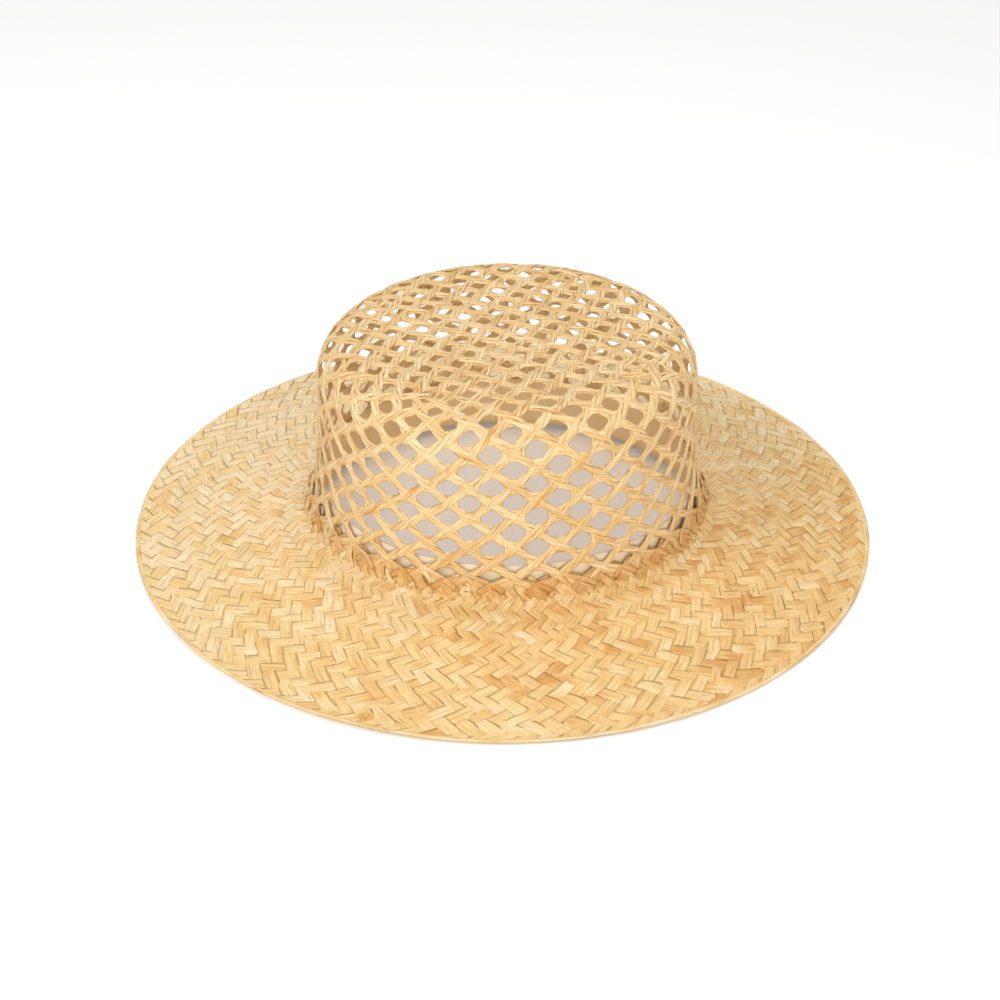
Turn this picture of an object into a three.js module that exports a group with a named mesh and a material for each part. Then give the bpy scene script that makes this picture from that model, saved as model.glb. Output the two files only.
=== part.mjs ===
// A raffia boater: an open netted crown, a closed plaited brim and a cloth sweatband inside the head opening.
// Millimetres, +Z up. The origin is on the surface that the hat lies on, below the middle of the hat.
// X runs across the hat and Y from front (-Y) to back (+Y).
import * as THREE from "three";

// Driving sizes of the head opening and the crown
const CROWN_HALF_WIDTH = 95; // outer face of the side wall, along X
const CROWN_HALF_DEPTH = 99.6; // outer face of the side wall, along Y
const CROWN_HEIGHT = 92.5; // from the top of the brim to the top of the crown
const SHOULDER_REACH = 22; // how far the round shoulder takes in
const SHOULDER_DROP = 20; // how far it comes down
const TIP_RISE = 2; // slight dome of the flat top
const BASE_FLARE = 2; // the wall spreads by this where it meets the brim
const FLARE_HEIGHT = 14;
const NET_THICKNESS = 3;

// The net: cords in two slanting families, with rows of gaps between them
const MESHES_PER_QUARTER = 4; // cords that reach each quarter of the top's edge
const SIDE_ROWS = 5; // rows of crossings below the edge of the top
const CORD_WIDTH = 8;
const GAP_CORNER_SHARE = 0.9; // how far a gap reaches into its corners, as a share of its reach to its sides
const NET_TURN = 60; // degrees from +X to one corner of the top's square net
const COLLAR_HEIGHT = 9; // closed plait under the net
const RELAX_STEPS = 400;

// The brim
const BRIM_WIDTH = 90; // from the foot of the crown to the edge, at the sides
const BRIM_LENGTH = 95; // the same at the front and the back
const BRIM_FALL = 11.5; // how far the edge lies below the foot of the crown
const BRIM_THICKNESS = 2;
const EDGE_FLAT = 7; // width of the edge that lies flat
const BRIM_ROUND_STEPS = 96;

// The sweatband
const BAND_WIDTH = 26;
const BAND_THICKNESS = 1;
const BAND_HANG = 7; // how far it reaches below the brim's underside
const BAND_ROUND_STEPS = 96;
const BAND_INSET = 1.2; // between the band and the net, whose flat-sided meshes cut the corner

const SEAM_GAP = 0.3; // clearance between pieces that touch

// Heights that follow from those sizes
const brimTop = BRIM_THICKNESS + BRIM_FALL; // top face of the brim at the crown's foot
const crownFoot = brimTop + SEAM_GAP;
const crownTop = brimTop + CROWN_HEIGHT;
const collarTop = crownFoot + COLLAR_HEIGHT;
const bandBottom = BRIM_FALL - BAND_HANG;
const bandTop = bandBottom + BAND_WIDTH;

// How far the crown's outer face stands out from the plain wall at a height on the wall.
function flareAt(z) {
  const share = Math.min(1, Math.max(0, 1 - (z - crownFoot) / FLARE_HEIGHT));
  return BASE_FLARE * share * share;
}

// The crown's outer face as one line from the middle of the top to the foot, for a round crown of the mean size.
// Each point has its distance from the axis, r, and its height, z.
const meanRadius = (CROWN_HALF_WIDTH + CROWN_HALF_DEPTH) / 2;
const crownLine = (() => {
  const points = [];
  const tipRadius = meanRadius - SHOULDER_REACH;
  const tipSteps = 24;
  const shoulderSteps = 16;
  const wallSteps = 24;
  for (let i = 0; i < tipSteps; i++) {
    const share = i / tipSteps;
    points.push(new THREE.Vector2(tipRadius * share, crownTop - TIP_RISE * share * share));
  }
  const shoulderTop = crownTop - TIP_RISE;
  for (let i = 0; i < shoulderSteps; i++) {
    const turn = ((i / shoulderSteps) * Math.PI) / 2;
    const r = tipRadius + SHOULDER_REACH * Math.sin(turn);
    points.push(new THREE.Vector2(r, shoulderTop - SHOULDER_DROP * (1 - Math.cos(turn))));
  }
  const wallTop = shoulderTop - SHOULDER_DROP;
  for (let i = 0; i <= wallSteps; i++) {
    const z = wallTop + ((crownFoot - wallTop) * i) / wallSteps;
    points.push(new THREE.Vector2(meanRadius + flareAt(z), z));
  }
  return points;
})();

// The point of the crown's outer face nearest to p, with the outward normal there.
function ontoCrown(p) {
  const across = (p.x / CROWN_HALF_WIDTH) * meanRadius;
  const along = (p.y / CROWN_HALF_DEPTH) * meanRadius;
  const spot = new THREE.Vector2(Math.hypot(across, along), p.z);
  let best = null;
  for (let i = 0; i + 1 < crownLine.length; i++) {
    const from = crownLine[i];
    const step = crownLine[i + 1].clone().sub(from);
    const share = Math.min(1, Math.max(0, spot.clone().sub(from).dot(step) / step.lengthSq()));
    const near = from.clone().addScaledVector(step, share);
    const away = near.distanceToSquared(spot);
    if (!best || away < best.away) best = { away, near, step };
  }
  const angle = Math.atan2(along, across);
  const { near, step } = best;
  const point = crownPoint(near.x, near.y, angle);
  const out = new THREE.Vector2(-step.y, step.x).normalize();
  const normal = new THREE.Vector3(
    (out.x * Math.cos(angle)) / CROWN_HALF_WIDTH,
    (out.x * Math.sin(angle)) / CROWN_HALF_DEPTH,
    out.y / meanRadius,
  ).normalize();
  return { point, normal };
}

function crownPoint(r, z, angle) {
  const share = r / meanRadius;
  return new THREE.Vector3(
    CROWN_HALF_WIDTH * share * Math.cos(angle),
    CROWN_HALF_DEPTH * share * Math.sin(angle),
    z,
  );
}

// The net's crossings. The top is a square net whose outline is a square standing on one corner, with K crossings
// along each side. Rows of 4K crossings, each turned by half a mesh, follow it down the wall to the collar.
function netOfCrown(K, rows) {
  const around = 4 * K;
  const crossings = [];
  const numbers = new Map();
  const turn = THREE.MathUtils.degToRad(NET_TURN);
  const rim = (row, m) => "row" + row + "," + ((m % around) + around) % around;
  // Where a crossing on the square net's edge comes, counted from the first corner.
  const edgePlace = (x, y) => {
    if (x > 0 && y >= 0) return y;
    if (x <= 0 && y > 0) return K - x;
    if (x < 0 && y <= 0) return 2 * K - y;
    return 3 * K + x;
  };
  const square = (x, y) =>
    Math.abs(x) + Math.abs(y) < K ? x + "," + y : rim(0, edgePlace(x, y));
  const add = (name, position) => {
    numbers.set(name, crossings.length);
    crossings.push({ position, near: [] });
  };
  const meshSize = (Math.PI * meanRadius) / (2 * K) / Math.SQRT2;
  for (let x = 1 - K; x < K; x++)
    for (let y = 1 - K; y < K; y++) {
      if (Math.abs(x) + Math.abs(y) >= K) continue;
      const flat = new THREE.Vector3(x * meshSize, y * meshSize, crownTop);
      add(x + "," + y, flat.applyAxisAngle(new THREE.Vector3(0, 0, 1), turn));
    }
  const wallTop = crownTop - TIP_RISE - SHOULDER_DROP;
  for (let row = 0; row <= rows; row++)
    for (let m = 0; m < around; m++) {
      const angle = turn + ((m + row / 2) * 2 * Math.PI) / around;
      const z = wallTop + ((collarTop - wallTop) * row) / rows;
      add(rim(row, m), crownPoint(meanRadius + flareAt(z), z, angle));
    }
  // Each face is one gap: its crossings in order, anticlockwise from outside.
  const faces = [];
  for (let x = 0; x < K; x++)
    for (let y = 0; x + y < K; y++) {
      let corners = [[x, y], [x + 1, y], [x + 1, y + 1], [x, y + 1]];
      for (let quarter = 0; quarter < 4; quarter++) {
        const outer = x + y + 2 > K ? quarter * K + y : null;
        faces.push(
          corners.map(([a, b], i) => (i === 2 && outer !== null ? rim(1, outer) : square(a, b))),
        );
        corners = corners.map(([a, b]) => [-b, a]);
      }
    }
  for (let row = 0; row + 2 <= rows; row++)
    for (let m = 0; m < around; m++)
      faces.push([rim(row, m), rim(row + 1, m - 1), rim(row + 2, m - 1), rim(row + 1, m)]);
  const open = faces.map((names) => names.map((name) => numbers.get(name)));
  // Half meshes along the collar stay closed.
  const closed = [];
  for (let m = 0; m < around; m++)
    closed.push([rim(rows - 1, m), rim(rows, m - 1), rim(rows, m)].map((n) => numbers.get(n)));
  for (const face of [...open, ...closed])
    face.forEach((a, i) => {
      const b = face[(i + 1) % face.length];
      if (!crossings[a].near.includes(b)) crossings[a].near.push(b);
      if (!crossings[b].near.includes(a)) crossings[b].near.push(a);
    });
  // The crossings settle between their neighbours on the crown, and the collar's own row stays where it is.
  const firstFixed = crossings.length - around;
  for (let step = 0; step < RELAX_STEPS; step++)
    for (let i = 0; i < firstFixed; i++) {
      const { near } = crossings[i];
      const middle = new THREE.Vector3();
      for (const j of near) middle.add(crossings[j].position);
      crossings[i].position = ontoCrown(middle.divideScalar(near.length)).point;
    }
  const collar = [];
  for (let m = 0; m < around; m++) collar.push(firstFixed + m);
  return { crossings, open, closed, collar };
}

// The crown as one wall: each mesh of the net is a frame round its gap, with the closed collar below.
function crownGeometry() {
  const { crossings, open, closed, collar } = netOfCrown(MESHES_PER_QUARTER, SIDE_ROWS);
  const outer = [];
  const inner = [];
  const triangles = [];
  const places = crossings.map((crossing) => crossing.position);
  const known = new Map();
  const vertex = (p) => {
    const { point, normal } = ontoCrown(p);
    outer.push(point);
    inner.push(point.clone().addScaledVector(normal, -NET_THICKNESS));
    return outer.length - 1;
  };
  const corner = (i) => {
    if (!known.has(i)) known.set(i, vertex(places[i]));
    return known.get(i);
  };
  const middle = (i, j) => {
    const name = Math.min(i, j) + "-" + Math.max(i, j);
    if (!known.has(name)) known.set(name, vertex(places[i].clone().lerp(places[j], 0.5)));
    return known.get(name);
  };
  // Inner vertices are numbered after all the outer ones, so a skin holds outer numbers until the end.
  const skins = [];
  const walls = [];
  for (const face of open) {
    const centre = new THREE.Vector3();
    for (const i of face) centre.addScaledVector(places[i], 1 / face.length);
    const edge = face.flatMap((i, k) => [corner(i), middle(i, face[(k + 1) % face.length])]);
    const hole = edge.map((v, k) => {
      const isCorner = k % 2 === 0;
      const side = outer[edge[isCorner ? (k + 1) % edge.length : k]];
      const toSide = 1 - CORD_WIDTH / 2 / side.distanceTo(centre);
      const share = isCorner ? toSide * GAP_CORNER_SHARE : toSide;
      return vertex(centre.clone().lerp(outer[v], share));
    });
    edge.forEach((v, k) => {
      const next = (k + 1) % edge.length;
      skins.push([v, edge[next], hole[next]], [v, hole[next], hole[k]]);
      walls.push([hole[k], hole[next]]);
    });
  }
  for (const [top, left, right] of closed) {
    const [a, ab, b, bc, c, ca] = [
      corner(top),
      middle(top, left),
      corner(left),
      middle(left, right),
      corner(right),
      middle(right, top),
    ];
    skins.push([a, ab, ca], [ab, b, bc], [ab, bc, ca], [ca, bc, c]);
  }
  // The collar goes straight down from the last row to the foot.
  const upper = collar.flatMap((i, k) => {
    const next = collar[(k + 1) % collar.length];
    return [corner(i), middle(i, next)];
  });
  const levels = [collarTop - COLLAR_HEIGHT / 2, crownFoot];
  let above = upper;
  for (const z of levels) {
    const below = upper.map((v) => {
      const p = outer[v];
      const angle = Math.atan2(p.y / CROWN_HALF_DEPTH, p.x / CROWN_HALF_WIDTH);
      return vertex(crownPoint(meanRadius + flareAt(z), z, angle));
    });
    above.forEach((v, k) => {
      const next = (k + 1) % above.length;
      skins.push([v, below[k], below[next]], [v, below[next], above[next]]);
    });
    above = below;
  }
  above.forEach((v, k) => walls.push([above[(k + 1) % above.length], v]));
  // The foot is cut level, so that the collar stands flat on the brim.
  for (const v of above) inner[v].z = crownFoot;
  const under = outer.length;
  for (const [a, b, c] of skins) triangles.push(a, b, c, under + a, under + c, under + b);
  for (const [a, b] of walls) triangles.push(a, b, under + b, a, under + b, under + a);
  return solidFrom([...outer, ...inner], triangles);
}

function solidFrom(points, triangles) {
  const geometry = new THREE.BufferGeometry().setFromPoints(points);
  geometry.setIndex(triangles);
  geometry.computeVertexNormals();
  return geometry;
}

// A closed ring that follows the head opening's oval. Each point of the section has its distance outside the crown's
// plain wall, out, and its height, z, and they run anticlockwise with the axis on the left. Towards the front and the
// back, out is stretched.
function ringGeometry(section, steps, stretch) {
  const points = [];
  const triangles = [];
  for (let i = 0; i < steps; i++) {
    const angle = (i / steps) * 2 * Math.PI;
    for (const { out, z } of section)
      points.push(
        new THREE.Vector3(
          (CROWN_HALF_WIDTH + out) * Math.cos(angle),
          (CROWN_HALF_DEPTH + out * stretch) * Math.sin(angle),
          z,
        ),
      );
  }
  const count = section.length;
  for (let i = 0; i < steps; i++)
    for (let k = 0; k < count; k++) {
      const here = i * count;
      const next = ((i + 1) % steps) * count;
      const up = (k + 1) % count;
      triangles.push(here + k, next + k, next + up, here + k, next + up, here + up);
    }
  return solidFrom(points, triangles);
}

function brimGeometry() {
  const insideEdge = BASE_FLARE - NET_THICKNESS;
  const edge = BASE_FLARE + BRIM_WIDTH;
  const flatStart = edge - EDGE_FLAT;
  return ringGeometry(
    [
      { out: insideEdge, z: BRIM_FALL },
      { out: flatStart, z: 0 },
      { out: edge, z: 0 },
      { out: edge, z: BRIM_THICKNESS },
      { out: flatStart, z: BRIM_THICKNESS },
      { out: BASE_FLARE, z: brimTop },
      { out: insideEdge, z: brimTop },
    ],
    BRIM_ROUND_STEPS,
    (BASE_FLARE + BRIM_LENGTH) / edge,
  );
}

// The sweatband lies along the inside of the wall and the collar.
function bandGeometry() {
  const levels = [bandBottom, crownFoot, (crownFoot + bandTop) / 2, bandTop];
  const outside = levels.map((z) => ({ out: flareAt(z) - NET_THICKNESS - BAND_INSET, z }));
  const inside = outside.map(({ out, z }) => ({ out: out - BAND_THICKNESS, z })).reverse();
  return ringGeometry([...outside, ...inside], BAND_ROUND_STEPS, 1);
}

const straw = { roughness: 0.65, metalness: 0 };
const netStraw = new THREE.MeshStandardMaterial({ color: 0xe3c084, ...straw });
const brimStraw = new THREE.MeshStandardMaterial({ color: 0xe6c78f, ...straw });
const bandCloth = new THREE.MeshStandardMaterial({ color: 0xd8bd92, roughness: 0.9, metalness: 0 });

const boater = new THREE.Group();
for (const [name, geometry, material] of [
  ["crown_net", crownGeometry(), netStraw],
  ["brim", brimGeometry(), brimStraw],
  ["sweatband", bandGeometry(), bandCloth],
]) {
  const mesh = new THREE.Mesh(geometry, material);
  mesh.name = name;
  boater.add(mesh);
}

export default boater;
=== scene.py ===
"""A raffia boater lying on its brim: the visual model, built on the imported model's frame.

The crown is an open net of twisted raffia cords. At its foot the cords spread into flat strips, which are
plaited into a collar and then into the brim. A plain cloth sweatband lines the head opening.
Sizes are in millimetres until a mesh is made. +Z is up, the front of the hat is at -Y.
"""

import math

import bpy
import numpy as np
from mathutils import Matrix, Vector


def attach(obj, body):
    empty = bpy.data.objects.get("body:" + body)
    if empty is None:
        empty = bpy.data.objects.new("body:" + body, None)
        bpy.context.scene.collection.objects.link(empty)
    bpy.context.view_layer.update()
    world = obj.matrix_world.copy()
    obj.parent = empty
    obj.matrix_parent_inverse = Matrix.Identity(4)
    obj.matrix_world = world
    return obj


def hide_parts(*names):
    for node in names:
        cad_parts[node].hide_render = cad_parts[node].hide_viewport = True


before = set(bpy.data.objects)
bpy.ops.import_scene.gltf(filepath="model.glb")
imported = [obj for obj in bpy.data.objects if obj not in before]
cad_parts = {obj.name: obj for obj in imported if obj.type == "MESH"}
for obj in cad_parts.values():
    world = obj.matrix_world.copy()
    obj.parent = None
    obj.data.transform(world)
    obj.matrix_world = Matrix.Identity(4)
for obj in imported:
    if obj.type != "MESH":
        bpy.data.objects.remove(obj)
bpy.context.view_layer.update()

METRE = 0.001
TURN = 2 * np.pi

# The crown, close to the solids
CROWN_HALF_WIDTH = 95.0
CROWN_HALF_DEPTH = 99.6
BRIM_TOP = 13.5
CROWN_TOP = 106.4
SHOULDER_REACH = 22.0
SHOULDER_DROP = 20.0
TIP_RISE = 0.8  # of the top's middle above the top's rim
MEAN_RADIUS = (CROWN_HALF_WIDTH + CROWN_HALF_DEPTH) / 2
WALL_TOP = CROWN_TOP - TIP_RISE - SHOULDER_DROP
PROFILE_SAMPLES = 25  # of the top, of the shoulder and of the wall

# The brim, close to the solids
BRIM_EDGE = 92.0  # from the crown's plain wall to the edge, at the sides
BRIM_STRETCH = 97.0 / BRIM_EDGE  # the same at the front and back, as a share
EDGE_FLAT = 7.0
EDGE_HEIGHT = 1.15  # middle of the plait above the floor at the edge
EDGE_INSET = 0.6  # of the plait's end from the edge
BRIM_FOOT = 2.0  # where the brim's fall begins, outside the plain wall
FOOT_DEPTH = 1.0  # middle of the plait below the brim's top there
BRIM_STATIONS = (4, 20, 40, 60)  # outside the plain wall
CORNER_ROUNDS = 3
LIFTED_SIDE = np.radians(150)  # where the soft edge lies a little above the floor
EDGE_LIFT = 0.7  # its mean lift, which grows from none to twice as much on that side
EDGE_WAVES = 9
EDGE_WAVE_LIFT = 0.2  # the mean lift of its waves

# How the soft hat departs from the even solids
HEAD_SHIFT = np.array([1.2, 0.0, 0.4])  # of the crown, with the whole rise only at its top
EDGE_SHIFT = np.array([-0.9, -1.2, 0.0])  # of the brim's edge
TOP_TILT = 0.009  # rise of the crown's top to the right, for each millimetre across
SIDE_SPLAY = 7.0  # of the crown's two sides, outwards at the foot
SPLAY_TOP = 66.0  # height where the splay begins
SPLAY_FOOT = 14.0  # height below which it is full

# The net
CORDS_PER_QUARTER = 7
NET_ROWS = 13
TOP_PITCH = 11.3  # between crossings of the square net on the top
NET_TURN = np.radians(60)
UNEVEN_ROWS = 4  # from the top's rim to where the crossings are evenly spaced
SETTLING_ROUNDS = 6
TOP_NORMAL = 0.8  # the crown's normal rises more than this in the square net
ASKEW = [0.3, 0.9, 0.31]  # a direction in which no crossing's normal points
CORD_SPREAD = 1.05  # of the strands to each side of the cord's middle
TOP_SPREAD = 1.55  # the same on the top
STRAND_HALF_WIDTH = 1.22
STRAND_HALF_HEIGHT = 0.44
TWIST_HALF_DEPTH = 0.4  # of the strands in and out of the cord as they twist
CROSSING_BULGE = 0.25  # more spread where two cords cross, as a share
CROSSING_REACH = 4.0  # of the bulge along the cord
CROSSING_LIFT = 0.16
STRANDS = 4
TWIST_LENGTH = 27.0
NET_STEP = 1.8  # between a strand's samples

# Where a cord fans out over the collar
FAN_STEPS = np.array([0.5, 0.9, 1.3])  # on below the lowest crossing, in meshes
FAN_TURNS = np.array([1.0, -1.0, 1.0])  # over and under other cords at those steps
FAN_PITCH = 2.9  # between a cord's strands
FAN_LIFT = 0.35  # of the strands above the collar's plait
FAN_DIVE = 3  # such lifts below the plait at the collar's foot
FAN_RISEN = 0.3  # share of the way down the collar at which the strands are lifted
FAN_SPREAD = 0.6  # the same at which they are spread and begin to dive
FAN_WIDENING = 0.3
FAN_FLATTENING = 0.4
FAN_TONE = 0.55  # how much more golden they are

# The short strands that round the net's gaps
CORD_DEPTH = 1.2  # of their middle below the crown's outer face
WRAP_HALF_WIDTH = 1.1
WRAP_HALF_HEIGHT = 0.33
WRAP_SAMPLES = 7
WRAP_REACH = (0.45, 0.65)  # share of a mesh's side that a short strand takes up
WRAP_BEND = (0.1, 0.2)  # how far it stays off the crossing, as a share of its two reaches
TOP_ROUNDING = 0.12  # more of that on the top, where the gaps are rounder and smaller
WRAP_DEPTH_STRAY = 0.35
WRAP_TUCK = 0.35  # of its ends into the cords
WRAP_TAPER = 0.4

# The plait
STRIPS_PER_GROUP = 4
STRIPS = STRIPS_PER_GROUP * 4 * CORDS_PER_QUARTER  # in each of the two slanting families, all round
COLLAR_TOP = 24.5
COLLAR_LINE = [(-CORD_DEPTH, COLLAR_TOP), (-1.0, 21.0), (-0.2, 17.5), (1.2, 14.6)]  # outside the wall, height
COLLAR_ROWS = 4  # crossings up the collar
COLLAR_END = 0.5  # the row, out on the brim, at which the collar's strips end
COLLAR_GATHER = 0.4  # how far the collar's strips draw together at its top
GATHER_NARROWING = 0.2
BRIM_ROWS = 25  # crossings across the brim
BRIM_START = -1.5  # the brim's strips begin under the collar
EDGE_ROW = BRIM_ROWS - 0.25  # where the strips are cut off under the folded edge
STRIP_HALF_HEIGHT = 0.08
STRIP_FILL = 1.16  # strip width as a share of its place
TWILL_SHARPNESS = 1.7  # of a strip's change from over to under
DIVE_LENGTH = 0.6  # rows over which a strip's outer end dives
LOOSE_MEAN = 1.15  # factor for the strips' lifts
LOOSE_BACK = 0.4  # more of it at the back and less at the front
PAINTED_SHADE_SIDE = np.radians(-50)  # where the strips are a little more golden, as painted shade, and opposite it a little paler, as painted light
# the size of that painted light and shade, in tone
PAINTED_SHADE_SHARE = 0.28

# How each plait is made: a strip's lift over another, its unevenness, how far the gathered strips sink and
# how far the outer ends dive
BRIM_PLAIT = {"samples_per_row": 4, "lift": 0.1, "rough": 0.65, "sink": 9.0, "dive": 0.0}
COLLAR_PLAIT = {"samples_per_row": 7, "lift": 0.5, "rough": 2.0, "sink": 0.5, "dive": 1.0}

# How strips stray: rows to a bend, and its size
STRIP_SWAY = (1.7, 0.09)  # sideways, in strips
STRIP_JUMP = (1.2, 0.1)  # up and down
STRIP_SWELL = (2.5, 0.07)  # as a share of the strip's place
STRIP_STAIN = (1.8, 0.13)  # in tone

# How cords, strands and the edge stray: samples to a bend, and its size
CORD_SWAY = (6, 0.2)
TWIST_SLIP = (9, 0.35)  # in radians
STRAND_SWELL = (7, 0.12)  # as a share of the strand's width
STRAND_STAIN = (8, 0.1)  # in tone
EDGE_SWELL = (9, 0.1)

# Tones run from 0 for pale to 1 for ochre
TONE_SHAPE = (3.6, 6.9)  # of the beta distribution that strips and cords take their tones from
CORD_TONE_SHARE = 0.6  # of a cord's own tone in its strands
STRAND_TONE = (0.1, 0.1)  # mean and spread of what a strand adds to it

# The folded edge
FOLD_SAMPLES = 6
EDGE_HALF_WIDTH = 1.15
EDGE_HALF_HEIGHT = 0.38
NUB_WIDTH = 0.12
NUB_HEIGHT = 0.08

# The sweatband, at the height that it has in the solids
BAND_OUT = -3.6  # its middle, from the crown's plain wall
BAND_BOTTOM = 4.5
BAND_TOP = 30.5
BAND_HALF_THICKNESS = 0.35
BAND_SAMPLES = 240
BAND_LEVELS = 9
BAND_RIPPLES = ((0.18, 17, 0), (0.12, 31, 1))  # depth, number round the band and start
BAND_FOOT_RIPPLE = 0.4  # share of the ripple at the band's foot

rng = np.random.default_rng(7)


# Surfaces


def oval(half_width, half_depth, z, angle):
    return np.stack([half_width * np.cos(angle), half_depth * np.sin(angle), z + 0 * angle], -1)


def crown_point(r, z, angle):
    """The point of the oval crown that a round crown of the mean size has at distance r from the axis."""
    share = r / MEAN_RADIUS
    return oval(CROWN_HALF_WIDTH * share, CROWN_HALF_DEPTH * share, z, angle)


def crown_line():
    """The crown's outer face from the middle of the top to the collar: distance from the axis and height."""
    tip_radius = MEAN_RADIUS - SHOULDER_REACH
    share = np.linspace(0, 1, PROFILE_SAMPLES)[:-1]
    tip = np.stack([tip_radius * share, CROWN_TOP - TIP_RISE * share**2], -1)
    turn = np.linspace(0, np.pi / 2, PROFILE_SAMPLES)[:-1]
    shoulder = np.stack(
        [
            tip_radius + SHOULDER_REACH * np.sin(turn),
            CROWN_TOP - TIP_RISE - SHOULDER_DROP * (1 - np.cos(turn)),
        ],
        -1,
    )
    z = np.linspace(WALL_TOP, BRIM_TOP, PROFILE_SAMPLES)
    wall = np.stack([MEAN_RADIUS + 0 * z, z], -1)
    return np.concatenate([tip, shoulder, wall])


CROWN_LINE = crown_line()


def onto_crown(points):
    """The nearest points of the crown's outer face, and its outward normals there."""
    across = points[:, 0] / CROWN_HALF_WIDTH * MEAN_RADIUS
    along = points[:, 1] / CROWN_HALF_DEPTH * MEAN_RADIUS
    spots = np.stack([np.hypot(across, along), points[:, 2]], -1)[:, None]
    start = CROWN_LINE[:-1]
    step = np.diff(CROWN_LINE, axis=0)
    share = np.clip(((spots - start) * step).sum(-1) / (step**2).sum(-1), 0, 1)
    near = start + step * share[..., None]
    best = ((near - spots) ** 2).sum(-1).argmin(1)
    near = near[np.arange(len(points)), best]
    step = step[best]
    angle = np.arctan2(along, across)
    out = np.stack([-step[:, 1], step[:, 0]], -1)
    normal = np.stack(
        [
            out[:, 0] * np.cos(angle) / CROWN_HALF_WIDTH,
            out[:, 0] * np.sin(angle) / CROWN_HALF_DEPTH,
            out[:, 1] / MEAN_RADIUS,
        ],
        -1,
    )
    return crown_point(near[:, 0], near[:, 1], angle), unit(normal)


def unit(vectors):
    return vectors / np.linalg.norm(vectors, axis=-1, keepdims=True)


def lengths_along(line):
    return np.concatenate([[0], np.cumsum(np.linalg.norm(np.diff(line, axis=0), axis=1))])


def side_of(line, up):
    """The sideways directions of a line on a surface with the normals up."""
    return unit(np.cross(unit(np.gradient(line, axis=0)), up))


def eased(share):
    return share * share * (3 - 2 * share)


def smoothed(points, rounds):
    """The line with its corners cut, with the same ends."""
    for _ in range(rounds):
        quarter = points[:-1] * 0.75 + points[1:] * 0.25
        last = points[:-1] * 0.25 + points[1:] * 0.75
        inner = np.stack([quarter, last], 1).reshape(-1, points.shape[1])
        points = np.concatenate([points[:1], inner, points[-1:]])
    return points


def sheet_section():
    """The middle of the plait from the collar's top to the brim's edge: distance outside the plain wall and
    height, and lengths along it, counted from the brim's foot."""
    flat_start = BRIM_EDGE - EDGE_FLAT
    fall = (BRIM_TOP - FOOT_DEPTH - EDGE_HEIGHT) / (flat_start - BRIM_FOOT)
    brim = [(out, EDGE_HEIGHT + fall * (flat_start - out)) for out in (*BRIM_STATIONS, flat_start)]
    corners = COLLAR_LINE + brim + [(BRIM_EDGE - EDGE_INSET, EDGE_HEIGHT)]
    line = smoothed(np.array(corners), CORNER_ROUNDS)
    length = lengths_along(line)
    return line, length - np.interp(BRIM_FOOT, line[:, 0], length)


SECTION, SECTION_LENGTH = sheet_section()


def sheet_point(angle, row):
    """A point of the plait's middle. Rows of crossings count from the crown's foot, outwards and down."""
    length = np.interp(
        row, [-COLLAR_ROWS, 0, BRIM_ROWS], [SECTION_LENGTH[0], 0, SECTION_LENGTH[-1]]
    )
    out = np.interp(length, SECTION_LENGTH, SECTION[:, 0])
    z = np.interp(length, SECTION_LENGTH, SECTION[:, 1])
    reach = np.clip(out / BRIM_EDGE, 0, 1)
    lift = EDGE_LIFT * (1 + np.cos(angle - LIFTED_SIDE))
    lift = lift + EDGE_WAVE_LIFT * (1 + np.sin(EDGE_WAVES * angle))
    z = z + reach**2 * lift
    return oval(CROWN_HALF_WIDTH + out, CROWN_HALF_DEPTH + out * BRIM_STRETCH, z, angle)


def sheet_normal(angle, row):
    small_angle = 0.01
    part_row = 0.08
    around = sheet_point(angle + small_angle, row) - sheet_point(angle - small_angle, row)
    outward = sheet_point(angle, row + part_row) - sheet_point(angle, row - part_row)
    return unit(np.cross(outward, around))


def as_it_lies(points):
    """Where the soft hat has the given points of the even one."""
    share = np.hypot(points[:, 0] / CROWN_HALF_WIDTH, points[:, 1] / CROWN_HALF_DEPTH)
    outward = np.clip((share - 1) * CROWN_HALF_WIDTH / BRIM_EDGE, 0, 1)[:, None]
    raised = np.clip((points[:, 2] - BRIM_TOP) / (CROWN_TOP - BRIM_TOP), 0, 1)
    shift = HEAD_SHIFT * raised[:, None] ** [[0, 0, 1]] * (1 - outward) + EDGE_SHIFT * outward
    shift[:, 2] += TOP_TILT * points[:, 0] * raised
    lower = np.clip((SPLAY_TOP - points[:, 2]) / (SPLAY_TOP - SPLAY_FOOT), 0, 1)
    splay = SIDE_SPLAY * lower**2 * (1 - outward[:, 0]) ** 2
    shift[:, 0] += splay * points[:, 0] / (CROWN_HALF_WIDTH * share)
    return points + shift


# Meshes made of long strands

# Sections of a strand, in its half width and half height
RIBBON = np.array([(-1, 0.4), (-0.6, 1), (0.6, 1), (1, 0.4), (0.95, -1), (-0.95, -1)])
ROUND = np.array([(-1, 0), (-0.5, 0.9), (0.5, 0.9), (1, 0), (0.5, -0.9), (-0.5, -0.9)])
GRAIN_PLACES = 500.0  # each strand takes its grain from its own place on a field of this size


def wander(count, samples, reach, size):
    """Smooth random lines, one row each: about one bend for each reach samples, of the size given."""
    knots = max(2, int(samples / reach) + 2)
    values = rng.normal(0, size, (count, knots))
    places = np.linspace(0, knots - 1, samples)
    low = np.minimum(places.astype(int), knots - 2)
    share = eased(places - low)
    return values[:, low] * (1 - share) + values[:, low + 1] * share


def new_object(name, data):
    made = bpy.data.objects.new(name, data)
    bpy.context.collection.objects.link(made)
    return made


def new_piece(name, mesh, tone, material):
    """The mesh as a piece of the hat, with a tone for each of its points."""
    colours = np.stack([tone, tone, tone, np.ones_like(tone)], -1)
    mesh.attributes.new("tone", "FLOAT_COLOR", "POINT").data.foreach_set("color", colours.ravel())
    mesh.materials.append(material)
    piece = new_object(name, mesh)
    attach(piece, "root")
    return piece


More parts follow.
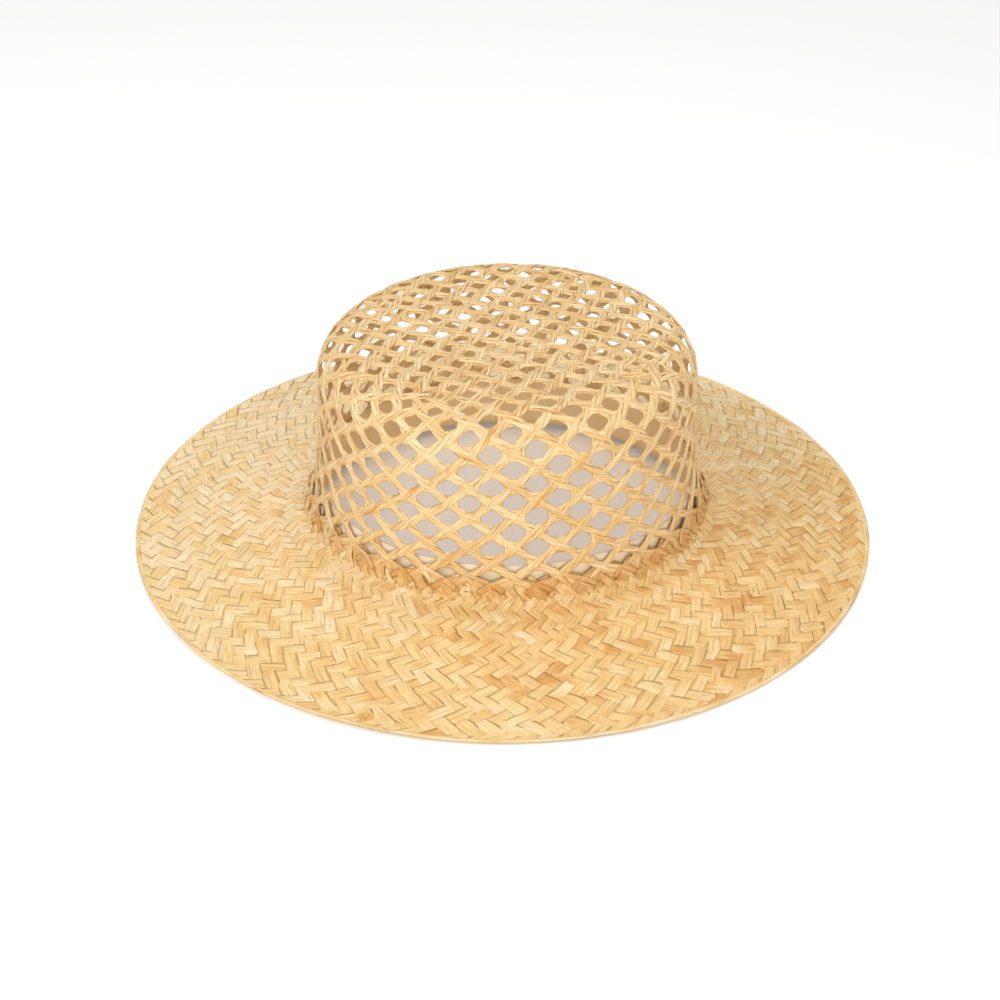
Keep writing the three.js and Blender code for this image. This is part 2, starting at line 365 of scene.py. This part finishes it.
class Strands:
    """Collects strands and turns them into one mesh, with a UV map in millimetres and the strands' tones."""

    def __init__(self):
        self.points = []
        self.uvs = []
        self.tones = []
        self.faces = []
        self.caps = []
        self.count = 0

    def add(self, middle, side, up, half_width, half_height, tone, section=ROUND):
        samples, sides = len(middle), len(section)
        across = section[:, 0] * np.broadcast_to(half_width, samples)[:, None]
        above = section[:, 1] * np.broadcast_to(half_height, samples)[:, None]
        ring = middle[:, None] + side[:, None] * across[..., None] + up[:, None] * above[..., None]
        along = lengths_along(middle)
        place = rng.uniform(0, GRAIN_PLACES, 2)
        uv = np.stack([along[:, None] + place[0] + 0 * across, across + place[1]], -1)
        here = self.count + np.arange(samples * sides).reshape(samples, sides)
        after = np.roll(here, -1, axis=1)
        quads = np.stack([here[:-1], after[:-1], after[1:], here[1:]], -1).reshape(-1, 4)
        self.points.append(ring.reshape(-1, 3))
        self.uvs.append(uv.reshape(-1, 2))
        self.tones.append(np.repeat(np.broadcast_to(tone, samples), sides))
        self.faces.append(quads)
        self.caps += [here[0][::-1], here[-1]]
        self.count += samples * sides

    def build(self, name, material):
        points = as_it_lies(np.concatenate(self.points)) * METRE
        quads = np.concatenate(self.faces)
        caps = np.concatenate(self.caps)
        mesh = bpy.data.meshes.new(name)
        mesh.vertices.add(len(points))
        mesh.vertices.foreach_set("co", points.ravel())
        corners = np.concatenate([quads.ravel(), caps])
        sizes = [len(cap) for cap in self.caps]
        totals = np.concatenate([np.full(len(quads), 4), sizes]).astype(int)
        mesh.loops.add(len(corners))
        mesh.loops.foreach_set("vertex_index", corners)
        mesh.polygons.add(len(totals))
        mesh.polygons.foreach_set("loop_start", np.concatenate([[0], np.cumsum(totals)[:-1]]))
        mesh.polygons.foreach_set("use_smooth", np.ones(len(totals), bool))
        mesh.update(calc_edges=True)
        uv = np.concatenate(self.uvs)[corners]
        mesh.uv_layers.new(name="strand").data.foreach_set("uv", uv.ravel())
        mesh.validate()
        return new_piece(name, mesh, np.concatenate(self.tones), material)


# Materials

WHITE = (1, 1, 1)

# Raffia, from bleached to ripe
PALE = (0.95, 0.775, 0.5)
NET_PALE = (0.95, 0.76, 0.46)
CREAM = (0.91, 0.67, 0.33)
NET_CREAM = (0.86, 0.6, 0.28)
GOLD = (0.85, 0.55, 0.22)
OCHRE = (0.74, 0.4, 0.13)
COLLAR_OCHRE = (0.62, 0.33, 0.1)

# What darkens it, each a factor for its colour
STREAK_SHADE = (0.78, 0.67, 0.52)
BAND_SHADE = (0.86, 0.8, 0.7)
# darkens splits, and the painted shadow under the strips' edges that the split dashes also stand for
SPLIT_AND_SHADOW_TINT = (0.62, 0.46, 0.27)

# Streaks, bands, stains and splits, the splits partly painted shadow under the strips' edges: grains to the
# millimetre along a strip and across it, and their detail
RAFFIA_GRAINS = ((0.05, 2.6, 3.0), (0.035, 0.7, 2.0), (0.09, 0.09, 2.0), (0.12, 1.7, 1.0))
STAIN_NOISE = (0.3, 0.7)  # the noise that gives the palest and the darkest stain
STAIN_TONE = 0.16  # how far these stains change the tone
RAFFIA_BUMP = (0.35, 0.0004)  # strength and depth
RAFFIA_ROUGHNESS = (0.4, 0.65)
RAFFIA_SHINE = 0.35

THREADS = (("X", 0.55), ("Y", 0.45))  # direction and scale of the tape's two sets of threads
OUTER_CLOTH = [(0.3, (0.94, 0.79, 0.56)), (0.7, (0.99, 0.88, 0.68))]
# on the inner face, a more golden colour that stands in for painted warm shade
INNER_CLOTH_PAINTED_SHADE = [(0.3, (0.96, 0.7, 0.38)), (0.7, (0.98, 0.78, 0.48))]
TAPE_BUMP = (0.4, 0.0003)
TAPE_ROUGHNESS = 0.9


def node(tree, kind, inputs=(), **settings):
    made = tree.nodes.new(kind)
    for key, value in settings.items():
        setattr(made, key, value)
    for key, value in dict(inputs).items():
        if isinstance(value, bpy.types.NodeSocket):
            tree.links.new(value, made.inputs[key])
        else:
            made.inputs[key].default_value = value
    return made


def ramp(tree, factor, stops):
    made = tree.nodes.new("ShaderNodeValToRGB")
    tree.links.new(factor, made.inputs["Fac"])
    elements = made.color_ramp.elements
    while len(elements) < len(stops):
        elements.new(0.5)
    for element, (place, colour) in zip(elements, stops):
        element.position = place
        element.color = (*colour, 1)
    return made.outputs["Color"]


def mix(tree, factor, first, second, blend="MIX"):
    """Two colours mixed. The Mix node's sockets share their names, so the ones for colours go by number."""
    sockets = {0: factor, 6: first, 7: second}
    return node(tree, "ShaderNodeMix", sockets, data_type="RGBA", blend_type=blend).outputs[2]


def bump(tree, shader, height, strength, depth):
    bumps = {"Height": height, "Strength": strength, "Distance": depth}
    tree.links.new(node(tree, "ShaderNodeBump", bumps).outputs["Normal"], shader.inputs["Normal"])


def new_material(name):
    material = bpy.data.materials.new(name)
    material.use_nodes = True
    return material, material.node_tree, material.node_tree.nodes["Principled BSDF"]


def raffia(name, tones, streak_shade):
    """Raffia: each strip has its own tone and fine streaks along it, some spots are stained, and short dashes
    are darkened as splits and as painted shadow under the strips' edges.
    """
    material, tree, shader = new_material(name)
    uv = node(tree, "ShaderNodeUVMap", uv_map="strand").outputs["UV"]

    def grain(along, across, detail):
        place = node(tree, "ShaderNodeMapping", {"Vector": uv, "Scale": (along, across, 1.0)})
        noise = {"Vector": place.outputs["Vector"], "Scale": 1.0, "Detail": detail}
        return node(tree, "ShaderNodeTexNoise", noise).outputs["Fac"]

    streak, band, stain, split = [grain(*sizes) for sizes in RAFFIA_GRAINS]
    tone = node(tree, "ShaderNodeAttribute", attribute_name="tone").outputs["Fac"]
    spots = {"Value": stain, "From Min": STAIN_NOISE[0], "From Max": STAIN_NOISE[1]}
    spots |= {"To Min": -STAIN_TONE, "To Max": STAIN_TONE}
    change = node(tree, "ShaderNodeMapRange", spots).outputs["Result"]
    shifted = node(tree, "ShaderNodeMath", {0: tone, 1: change}, operation="ADD").outputs["Value"]
    colour = ramp(tree, shifted, tones)
    for noise, stops in (
        (streak, [(0.3, streak_shade), (0.52, WHITE)]),
        (band, [(0.32, BAND_SHADE), (0.55, WHITE)]),
        # splits, partly painted shadow under the strips' edges
        (split, [(0.29, SPLIT_AND_SHADOW_TINT), (0.35, WHITE)]),
    ):
        colour = mix(tree, 1.0, colour, ramp(tree, noise, stops), "MULTIPLY")
    tree.links.new(colour, shader.inputs["Base Color"])
    bump(tree, shader, streak, *RAFFIA_BUMP)
    gloss = {"Value": band, "To Min": RAFFIA_ROUGHNESS[0], "To Max": RAFFIA_ROUGHNESS[1]}
    roughness = node(tree, "ShaderNodeMapRange", gloss).outputs["Result"]
    tree.links.new(roughness, shader.inputs["Roughness"])
    shader.inputs["Specular IOR Level"].default_value = RAFFIA_SHINE
    return material


def tape():
    """The sweatband's plain woven cloth, which is more golden on its inner side as painted warm shade."""
    material, tree, shader = new_material("sweatband_cloth")
    place = node(tree, "ShaderNodeUVMap", uv_map="strand").outputs["UV"]
    threads = {}
    for number, (direction, scale) in enumerate(THREADS):
        waves = {"Vector": place, "Scale": scale, "Distortion": 0.6, "Detail": 1.0}
        threads[number] = node(tree, "ShaderNodeTexWave", waves, bands_direction=direction).outputs["Fac"]
    weave = node(tree, "ShaderNodeMath", threads, operation="MULTIPLY").outputs["Value"]
    blotch = node(tree, "ShaderNodeTexNoise", {"Vector": place, "Scale": 0.08, "Detail": 4.0}).outputs["Fac"]
    outer = ramp(tree, blotch, OUTER_CLOTH)
    # painted warm shade: the inner face's more golden cloth
    inner = ramp(tree, blotch, INNER_CLOTH_PAINTED_SHADE)
    painted_shade_face = node(tree, "ShaderNodeAttribute", attribute_name="tone").outputs["Fac"]
    cloth = mix(tree, painted_shade_face, outer, inner)
    shade = ramp(tree, weave, [(0.0, (0.9, 0.86, 0.8)), (0.6, WHITE)])
    tree.links.new(mix(tree, 1.0, cloth, shade, "MULTIPLY"), shader.inputs["Base Color"])
    bump(tree, shader, weave, *TAPE_BUMP)
    shader.inputs["Roughness"].default_value = TAPE_ROUGHNESS
    return material


brim_tones = [(0.0, PALE), (0.4, CREAM), (0.75, GOLD), (1.0, OCHRE)]
collar_tones = [(0.0, PALE), (0.2, CREAM), (0.42, GOLD), (1.0, COLLAR_OCHRE)]
net_tones = [(0.0, NET_PALE), (0.5, NET_CREAM), (1.0, OCHRE)]
brim_raffia = raffia("brim_raffia", brim_tones, STREAK_SHADE)
collar_raffia = raffia("collar_raffia", collar_tones, SPLIT_AND_SHADOW_TINT)
net_raffia = raffia("net_raffia", net_tones, SPLIT_AND_SHADOW_TINT)


# The plait of the brim and the collar


def tone_of(count):
    """Most strips are cream, some golden and a few ochre."""
    return rng.beta(*TONE_SHAPE, count)


NODE_ANGLE = NET_TURN + NET_ROWS / 2 * TURN / (STRIPS / STRIPS_PER_GROUP)
GROUP_MIDDLE = (STRIPS_PER_GROUP - 1) / 2
# The collar's strips gather in fours, and two gathered groups cross at each of the net's lowest crossings.
WEAVE_TURN = NODE_ANGLE - (GROUP_MIDDLE + COLLAR_ROWS / 2) * TURN / STRIPS


def plait(lean, first_row, last_row, strands, samples_per_row, lift, rough, sink, dive):
    """One family of strips, cut off along the brim's edge. lean is +1 where a strip falls towards smaller
    angles on its way out, else -1."""
    samples = int(round((last_row - first_row) * samples_per_row)) + 1
    row = np.linspace(first_row, last_row, samples)
    gather = np.clip(-row / COLLAR_ROWS, 0, 1) ** 2
    tones = tone_of(STRIPS)

    def stray(rows, size, amount=1):
        return wander(STRIPS, samples, samples_per_row * rows, size * amount)

    sway = stray(*STRIP_SWAY, rough)
    jump = stray(*STRIP_JUMP, rough)
    swell = stray(*STRIP_SWELL)
    stain = stray(*STRIP_STAIN)
    over = lean * np.clip(TWILL_SHARPNESS * np.cos(np.pi / 2 * (row - 0.5)), -1, 1)
    ending = np.clip((row - last_row) / DIVE_LENGTH + 1, 0, 1)
    cut = np.clip(1 - (EDGE_ROW - row), 0, 1)[:, None]
    for i in range(STRIPS):
        group = STRIPS_PER_GROUP * (i // STRIPS_PER_GROUP) + GROUP_MIDDLE
        number = group + (i - group) * (1 - COLLAR_GATHER * gather) + sway[i]
        angle = WEAVE_TURN + (number - lean * row / 2) * TURN / STRIPS
        up = sheet_normal(angle, row)
        loose = LOOSE_MEAN + LOOSE_BACK * np.sin(angle)
        height = (lift * over + jump[i]) * loose - sink * gather - dive * ending
        middle = sheet_point(angle, row) + up * height[:, None]
        side = side_of(middle, up)
        pitch_step = sheet_point(angle + TURN / STRIPS, row) - sheet_point(angle, row)
        place = (pitch_step * side).sum(-1, keepdims=True)
        span = side * np.abs(place) * (1 - cut) + pitch_step * np.sign(place) * cut
        half = np.linalg.norm(span, axis=1) / 2 * (STRIP_FILL + swell[i]) * (1 - GATHER_NARROWING * gather)
        # painted light and shade: more golden, as painted shade, on one side of the hat, and paler, as
        # painted light, on the other
        golden = PAINTED_SHADE_SHARE * np.cos(angle - PAINTED_SHADE_SIDE)
        tone = np.clip(tones[i] + stain[i] + golden, 0, 1)
        strands.add(middle, unit(span), up, half, STRIP_HALF_HEIGHT, tone, RIBBON)


def brim_pieces():
    pieces = []
    for lean, name in ((1, "brim_plait_left_lay"), (-1, "brim_plait_right_lay")):
        strands = Strands()
        plait(lean, BRIM_START, EDGE_ROW, strands, **BRIM_PLAIT)
        pieces.append(strands.build(name, brim_raffia))
    return pieces


def collar_piece():
    strands = Strands()
    for lean in (1, -1):
        plait(lean, -COLLAR_ROWS, COLLAR_END, strands, **COLLAR_PLAIT)
    return strands.build("collar_plait", collar_raffia)


def edge_piece():
    """The folded edge: the strips turn back round it, which leaves a low nub at each fold."""
    samples = STRIPS * FOLD_SAMPLES
    angle = np.linspace(0, TURN, samples + 1)
    row = np.full(samples + 1, EDGE_ROW)
    swell = wander(1, samples + 1, *EDGE_SWELL)[0]
    swell[-1] = swell[0]
    nub = np.cos(angle * STRIPS) ** 2
    middle = sheet_point(angle, row)
    up = sheet_normal(angle, row)
    side = side_of(middle, up)
    strands = Strands()
    tone = np.repeat(tone_of(STRIPS), FOLD_SAMPLES)
    tone = np.append(tone, tone[0])
    half_width = EDGE_HALF_WIDTH + NUB_WIDTH * nub + swell
    half_height = EDGE_HALF_HEIGHT + NUB_HEIGHT * nub
    strands.add(middle, side, up, half_width, half_height, tone)
    return strands.build("brim_edge", brim_raffia)


# The net of the crown


def net_of_crown(quarter, rows):
    """The net's crossings on the crown, the links between them, each crossing's level, counted along its
    cords, and the number of crossings above the lowest row. The top is a square net in a square that stands
    on one corner. Rows with as many crossings as it has on its rim follow it down the wall, each turned by
    half a mesh."""
    around = 4 * quarter
    numbers = {}
    points = []
    levels = []

    def rim(row, m):
        return ("row", row, m % around)

    def edge_place(x, y):
        if x > 0 and y >= 0:
            return y
        if x <= 0 and y > 0:
            return quarter - x
        if x < 0 and y <= 0:
            return 2 * quarter - y
        return 3 * quarter + x

    def square(x, y):
        return (x, y) if abs(x) + abs(y) < quarter else rim(0, edge_place(x, y))

    def add(name, point, level):
        numbers[name] = len(points)
        points.append(point)
        levels.append(level)

    # Each crossing is first set at its distance from the middle of the top, measured down the outer face.
    down = lengths_along(CROWN_LINE)
    lower = down > down[-1] / 2
    collar = np.interp(-COLLAR_TOP, -CROWN_LINE[lower, 1], down[lower])

    def place(distance, angle):
        r, z = (np.interp(distance, down, CROWN_LINE[:, k]) for k in (0, 1))
        return crown_point(r, z, np.array(NET_TURN + angle))

    for x in range(1 - quarter, quarter):
        for y in range(1 - quarter, quarter):
            if abs(x) + abs(y) < quarter:
                add((x, y), place(TOP_PITCH * np.hypot(x, y), np.arctan2(y, x)), x + y)
    for row in range(rows + 1):
        for m in range(around):
            turn = (m + row / 2) % quarter / quarter
            first = TOP_PITCH * quarter * np.hypot(1 - turn, turn)
            uneven = np.arctan2(turn, 1 - turn) - turn * np.pi / 2
            angle = (m + row / 2) * TURN / around + uneven * max(0, 1 - row / UNEVEN_ROWS)
            add(rim(row, m), place(first + (collar - first) * row / rows, angle), row)
    links = set()
    for x in range(-quarter, quarter + 1):
        for y in range(-quarter, quarter + 1):
            for a, b in ((x + 1, y), (x, y + 1)):
                if abs(x) + abs(y) <= quarter and abs(a) + abs(b) <= quarter:
                    links.add((numbers[square(x, y)], numbers[square(a, b)]))
    for row in range(rows):
        for m in range(around):
            links.add((numbers[rim(row, m)], numbers[rim(row + 1, m)]))
            links.add((numbers[rim(row, m)], numbers[rim(row + 1, m - 1)]))
    links = np.array(sorted(links))
    points = np.array(points)
    fixed = len(points) - around
    for _ in range(SETTLING_ROUNDS):
        total = np.zeros_like(points)
        count = np.zeros(len(points))
        for here, there in ((0, 1), (1, 0)):
            np.add.at(total, links[:, here], points[links[:, there]])
            np.add.at(count, links[:, here], 1)
        settled = total / count[:, None]
        points[:fixed] = onto_crown(settled[:fixed])[0]
    return points, links, np.array(levels), fixed


def cords_of(points, links):
    """The cords, each as the numbers of its crossings, followed straight on through every crossing, with each
    crossing's neighbours in turn round it, and its normal."""
    normals = onto_crown(points)[1]
    near = [[] for _ in points]
    for a, b in links:
        near[a].append(int(b))
        near[b].append(int(a))
    for i, others in enumerate(near):
        first = unit(np.cross(normals[i], ASKEW))
        second = np.cross(normals[i], first)
        steps = points[others] - points[i]
        turns = np.arctan2(steps @ second, steps @ first)
        near[i] = [others[k] for k in np.argsort(turns)]

    def onward(before, here):
        others = near[here]
        if len(others) == 4:
            return others[(others.index(before) + 2) % 4]
        if len(others) == 3 and others.index(before) < 2:
            return others[1 - others.index(before)]
        return None

    used = set()
    cords = []
    ends = [(i, j) for i, others in enumerate(near) for j in others if onward(j, i) is None]
    for start, after in ends:
        if (start, after) in used:
            continue
        cord = [start, after]
        while True:
            step = onward(cord[-2], cord[-1])
            if step is None:
                break
            cord.append(step)
        used.add((cord[0], cord[1]))
        used.add((cord[-1], cord[-2]))
        cords.append(cord)
    return cords, near, normals


def curve_through(knots, values, step):
    """A smooth line through the knots, and the knots' values carried along it."""
    ahead = np.concatenate([[2 * knots[0] - knots[1]], knots, [2 * knots[-1] - knots[-2]]])
    lines = []
    carried = []
    for i in range(len(knots) - 1):
        a, b, c, d = ahead[i : i + 4]
        count = max(3, int(round(np.linalg.norm(c - b) / step)))
        t = np.linspace(0, 1, count + 1)[:-1, None]
        lines.append(
            0.5 * (2 * b + (c - a) * t + (2 * a - 5 * b + 4 * c - d) * t**2 + (3 * b - a - 3 * c + d) * t**3)
        )
        share = eased(t)[:, 0]
        carried.append(values[i] * (1 - share) + values[i + 1] * share)
    lines.append(knots[-1:])
    carried.append(values[-1:])
    return np.concatenate(lines), np.concatenate(carried)


def fan_points(points, end, before):
    """Where a cord that reaches the collar goes on over the plait."""
    step = points[end] - points[before]
    return onto_crown(points[end] + step * FAN_STEPS[:, None])[0]


def crossing_lifts(points, cord, normals, levels):
    """+1 where the cord passes over and -1 where it passes under. The two families of cords take turns."""
    directions = np.gradient(points[cord], axis=0)
    nudge = [1e-6, 0, 0]  # keeps the product from being zero where the normal is upright
    around = np.cross([0, 0, 1.0], normals[cord] * [1, 1, 0] + nudge)
    rising = (directions * around).sum(-1) * directions[:, 2] > 0
    ahead = np.abs(directions @ [np.cos(NET_TURN), np.sin(NET_TURN), 0])
    aside = np.abs(directions @ [-np.sin(NET_TURN), np.cos(NET_TURN), 0])
    first_family = np.where(normals[cord][:, 2] > TOP_NORMAL, ahead > aside, rising)
    return np.where(first_family == (levels[cord] % 2 == 0), 1.0, -1.0)


def cord_path(points, cord, normals, levels, fixed):
    """A cord's line on the crown's outer face, the normals there, how it passes over and under, and how far
    each of its samples is from a crossing."""
    knots = points[cord]
    lifts = crossing_lifts(points, cord, normals, levels)
    if cord[0] >= fixed:
        knots = np.concatenate([fan_points(points, cord[0], cord[1])[::-1], knots])
        lifts = np.concatenate([-lifts[0] * FAN_TURNS[::-1], lifts])
    if cord[-1] >= fixed:
        knots = np.concatenate([knots, fan_points(points, cord[-1], cord[-2])])
        lifts = np.concatenate([lifts, -lifts[-1] * FAN_TURNS])
    line, lift = curve_through(knots, lifts, NET_STEP)
    line, up = onto_crown(line)
    nearest = np.min(np.linalg.norm(line[:, None] - knots[None], axis=-1), axis=1)
    return line, up, lift, nearest


def net_pieces():
    points, links, levels, fixed = net_of_crown(CORDS_PER_QUARTER, NET_ROWS)
    cords, near, normals = cords_of(points, links)
    strands = [Strands(), Strands()]
    tones = tone_of(len(cords))
    for number, cord in enumerate(cords):
        line, up, lift, nearest = cord_path(points, cord, normals, levels, fixed)
        samples = len(line)
        side = side_of(line, up)
        spread = CORD_SPREAD + (TOP_SPREAD - CORD_SPREAD) * up[:, 2].clip(0, 1)
        spread = spread * (1 + CROSSING_BULGE * np.exp(-((nearest / CROSSING_REACH) ** 2)))
        low = np.clip((COLLAR_TOP - line[:, 2]) / (COLLAR_TOP - BRIM_TOP), 0, 1)
        out = np.interp(-line[:, 2], -SECTION[:, 1], SECTION[:, 0])
        fan_lift = [0, FAN_LIFT, FAN_LIFT, -FAN_DIVE * FAN_LIFT]
        out = out + np.interp(low, [0, FAN_RISEN, FAN_SPREAD, 1], fan_lift)
        fan = np.clip(low / FAN_SPREAD, 0, 1)
        sway = wander(1, samples, *CORD_SWAY)[0]
        line = line + up * (CROSSING_LIFT * lift + out)[:, None] + side * sway[:, None]
        distance = lengths_along(line)
        start = rng.uniform(0, TURN)
        slip = wander(STRANDS, samples, *TWIST_SLIP)
        for k in range(STRANDS):
            turn = start + k * TURN / STRANDS + distance / TWIST_LENGTH * TURN + slip[k]
            fanned = (k - (STRANDS - 1) / 2) * FAN_PITCH
            aside = spread * np.cos(turn) * (1 - fan) + fanned * fan
            raised = TWIST_HALF_DEPTH * np.sin(turn) * (1 - fan)
            middle = line + side * aside[:, None] + up * raised[:, None]
            swell = wander(1, samples, *STRAND_SWELL)[0]
            width = STRAND_HALF_WIDTH * (1 + swell + FAN_WIDENING * fan)
            height = STRAND_HALF_HEIGHT * (1 - FAN_FLATTENING * fan)
            tone = CORD_TONE_SHARE * tones[number] + rng.normal(*STRAND_TONE)
            tone = tone + wander(1, samples, *STRAND_STAIN)[0] + FAN_TONE * fan
            strands[number % 2].add(middle, side, up, width, height, np.clip(tone, 0, 1))
    pieces = [s.build(f"net_cords_{i + 1}", net_raffia) for i, s in enumerate(strands)]
    pieces.append(wraps_piece(points, near, fixed))
    return pieces


def wraps_piece(points, near, fixed):
    """Short strands that turn from one cord to the next at each crossing and round the gaps' corners."""
    strands = Strands()
    share = np.linspace(0, 1, WRAP_SAMPLES)[:, None]
    bow = np.sin(share * np.pi)
    rounder = TOP_ROUNDING * onto_crown(points)[1][:, 2].clip(0, 1)
    for i in range(fixed):
        others = near[i]
        for k, first in enumerate(others):
            second = others[(k + 1) % len(others)]
            start = points[i] + (points[first] - points[i]) * rng.uniform(*WRAP_REACH)
            end = points[i] + (points[second] - points[i]) * rng.uniform(*WRAP_REACH)
            bend = points[i] + (start + end - 2 * points[i]) * (rng.uniform(*WRAP_BEND) + rounder[i])
            line = start * (1 - share) ** 2 + 2 * bend * share * (1 - share) + end * share**2
            line, up = onto_crown(line)
            side = side_of(line, up)
            stray = rng.uniform(-WRAP_DEPTH_STRAY, WRAP_DEPTH_STRAY)
            line = line - up * (CORD_DEPTH + stray + WRAP_TUCK * (1 - bow))
            width = WRAP_HALF_WIDTH * (1 - WRAP_TAPER + WRAP_TAPER * bow[:, 0])
            strands.add(line, side, up, width, WRAP_HALF_HEIGHT, tone_of(1)[0])
    return strands.build("net_wraps", net_raffia)


# The sweatband


def band_piece():
    angle = np.linspace(0, TURN, BAND_SAMPLES, endpoint=False)
    ripple = sum(depth * np.sin(number * angle + start) for depth, number, start in BAND_RIPPLES)
    heights = np.linspace(BAND_BOTTOM, BAND_TOP, BAND_LEVELS)
    faces = [(z, 1) for z in heights] + [(z, -1) for z in heights[::-1]]
    points = []
    for z, face in faces:
        share = (z - BAND_BOTTOM) / (BAND_TOP - BAND_BOTTOM)
        rippled = ripple * (BAND_FOOT_RIPPLE + (1 - BAND_FOOT_RIPPLE) * share)
        out = BAND_OUT + face * BAND_HALF_THICKNESS + rippled
        points.append(oval(CROWN_HALF_WIDTH + out, CROWN_HALF_DEPTH + out, z, angle))
    levels = len(faces)
    points = as_it_lies(np.stack(points, 1).reshape(-1, 3)) * METRE
    here = np.arange(len(points)).reshape(BAND_SAMPLES, levels)
    after = np.roll(here, -1, axis=0)
    quads = np.stack([here, after, np.roll(after, -1, axis=1), np.roll(here, -1, axis=1)], -1)
    mesh = bpy.data.meshes.new("sweatband_cloth")
    mesh.from_pydata(points.tolist(), [], quads.reshape(-1, 4).tolist())
    perimeter = np.pi * (CROWN_HALF_WIDTH + CROWN_HALF_DEPTH + 2 * BAND_OUT)
    layer = mesh.uv_layers.new(name="strand")
    for loop in mesh.loops:
        step = loop.vertex_index // levels
        height = points[loop.vertex_index][2] / METRE
        layer.data[loop.index].uv = (step / BAND_SAMPLES * perimeter, height)
    for polygon in mesh.polygons:
        polygon.use_smooth = True
    # The inner face's points are marked for the painted warm shade of the tape's material.
    painted_shade_face = (np.arange(len(points)) % levels >= BAND_LEVELS).astype(float)
    piece = new_piece("sweatband_cloth", mesh, painted_shade_face, tape())
    return piece


for piece in brim_pieces() + [edge_piece()]:
    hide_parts("brim")
for piece in [collar_piece()] + net_pieces():
    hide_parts("crown_net")
band = band_piece()
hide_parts("sweatband")


# Floor, light and camera, in metres

FLOOR_HALF = 3.0
FLOOR_GREY = 0.93
FLOOR_GLOW = 0.12
WARM_WHITE = (1, 0.97, 0.92)
LIGHTS = (
    {"name": "key", "place": (-1.3, -0.9, 1.6), "size": 1.2, "watts": 17, "colour": WHITE},
    {"name": "front", "place": (0.5, -1.9, 0.6), "size": 1.2, "watts": 17, "colour": WARM_WHITE},
    {"name": "top", "place": (0.1, 0.3, 2.0), "size": 1.0, "watts": 13.5, "colour": WHITE},
)
LIGHT_AIM = Vector((0, 0, 0.05))
WORLD_STRENGTH = 0.44
CAMERA_RISE = math.radians(30.3)
CAMERA_DISTANCE = 1.2
CAMERA_AIM = Vector((-0.00215, 0.0, 0.0104))
CAMERA_LENS = 84.2
CAMERA_SENSOR = 36
CAMERA_NEAR = 0.01

floor_mesh = bpy.data.meshes.new("floor")
floor_corners = [(x * FLOOR_HALF, y * FLOOR_HALF, 0) for x, y in ((-1, -1), (1, -1), (1, 1), (-1, 1))]
floor_mesh.from_pydata(floor_corners, [], [(0, 1, 2, 3)])
floor = new_object("floor", floor_mesh)
floor_material, _, floor_shader = new_material("floor")
floor_shader.inputs["Base Color"].default_value = (FLOOR_GREY, FLOOR_GREY, FLOOR_GREY, 1)
floor_shader.inputs["Roughness"].default_value = 1.0
floor_shader.inputs["Specular IOR Level"].default_value = 0.0
floor_shader.inputs["Emission Color"].default_value = (*WHITE, 1)
floor_shader.inputs["Emission Strength"].default_value = FLOOR_GLOW
floor_mesh.materials.append(floor_material)


def face_along(item, direction):
    """Turns a light or a camera to look in the direction given."""
    item.rotation_euler = direction.to_track_quat("-Z", "Y").to_euler()


def area_light(name, place, size, watts, colour):
    data = bpy.data.lights.new(name, "AREA")
    data.shape = "DISK"
    data.size = size
    data.energy = watts
    data.color = colour
    lamp = new_object(name, data)
    lamp.location = place
    face_along(lamp, LIGHT_AIM - Vector(place))


for light in LIGHTS:
    area_light(**light)
world = bpy.data.worlds.new("studio")
world.use_nodes = True
background = world.node_tree.nodes["Background"]
background.inputs["Color"].default_value = (*WHITE, 1)
background.inputs["Strength"].default_value = WORLD_STRENGTH
bpy.context.scene.world = world
bpy.context.scene.view_settings.view_transform = "Standard"

camera_data = bpy.data.cameras.new("camera")
camera_data.sensor_fit = "HORIZONTAL"
camera_data.sensor_width = CAMERA_SENSOR
camera_data.lens = CAMERA_LENS
camera_data.clip_start = CAMERA_NEAR
camera = new_object("camera", camera_data)
backward = Vector((0, -math.cos(CAMERA_RISE), math.sin(CAMERA_RISE)))
camera.location = CAMERA_AIM + backward * CAMERA_DISTANCE
face_along(camera, -backward)
bpy.context.scene.camera = camera
